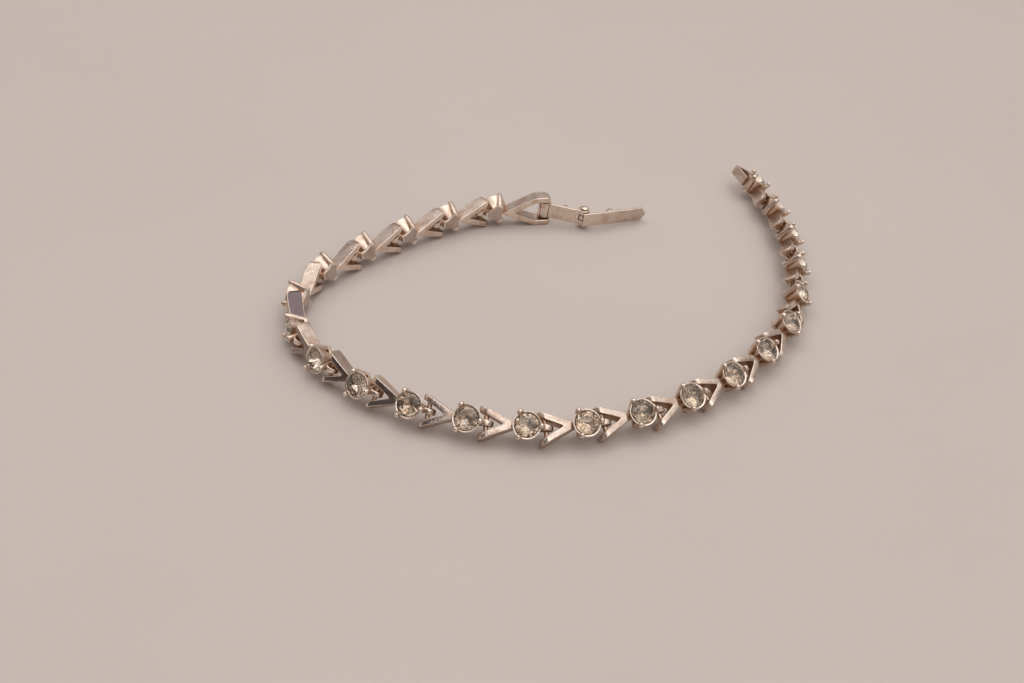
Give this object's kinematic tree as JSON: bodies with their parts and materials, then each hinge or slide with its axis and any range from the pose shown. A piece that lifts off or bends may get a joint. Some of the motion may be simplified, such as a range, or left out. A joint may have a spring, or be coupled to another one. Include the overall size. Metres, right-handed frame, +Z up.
{
  "type": "tennis bracelet",
  "caption": "Line bracelet of cup-set round stones on hinged chevron links, lying open, with a fold-over clasp and its catch.",
  "frame": {"origin": "middle of the bracelet's bounding box, on the surface it lies on", "axes": "+Z up off the surface, +X across the laid loop towards the end with the catch, +Y away from the front of the loop"},
  "size_m": [0.0746, 0.0674, 0.0053],
  "materials": {
    "silver": "silver-plated cast metal, worn and tarnished brown in its recesses",
    "crystal": "clear faceted glass stone, slightly yellowed"
  },
  "bodies": {
    "strand": {"link_01": "silver", "link_02": "silver", "link_03": "silver", "link_04": "silver", "link_05": "silver", "link_06": "silver", "link_07": "silver", "link_08": "silver", "link_09": "silver", "link_10": "silver", "link_11": "silver", "link_12": "silver", "link_13": "silver", "link_14": "silver", "link_15": "silver", "link_16": "silver", "link_17": "silver", "link_18": "silver", "link_19": "silver", "link_20": "silver", "link_21": "silver", "link_22": "silver", "link_23": "silver", "stone_01": "crystal", "stone_02": "crystal", "stone_03": "crystal", "stone_04": "crystal", "stone_05": "crystal", "stone_06": "crystal", "stone_07": "crystal", "stone_08": "crystal", "stone_09": "crystal", "stone_10": "crystal", "stone_11": "crystal", "stone_12": "crystal", "stone_13": "crystal", "stone_14": "crystal", "stone_15": "crystal", "stone_16": "crystal", "stone_17": "crystal", "stone_18": "crystal", "stone_19": "crystal", "stone_20": "crystal", "stone_21": "crystal", "stone_22": "crystal", "stone_23": "crystal", "clasp_base": "silver", "hinge_pin": "silver"},
    "clasp_arm": {"clasp_arm": "silver"}
  },
  "joints": [
    {"name": "clasp_hinge", "type": "hinge", "parent": "strand", "child": "clasp_arm", "pos_m": [0.00415, 0.0181, 0.00191], "axis": [0.0758, -0.012, 0.9971], "range_deg": [-30, 146]}
  ]
}
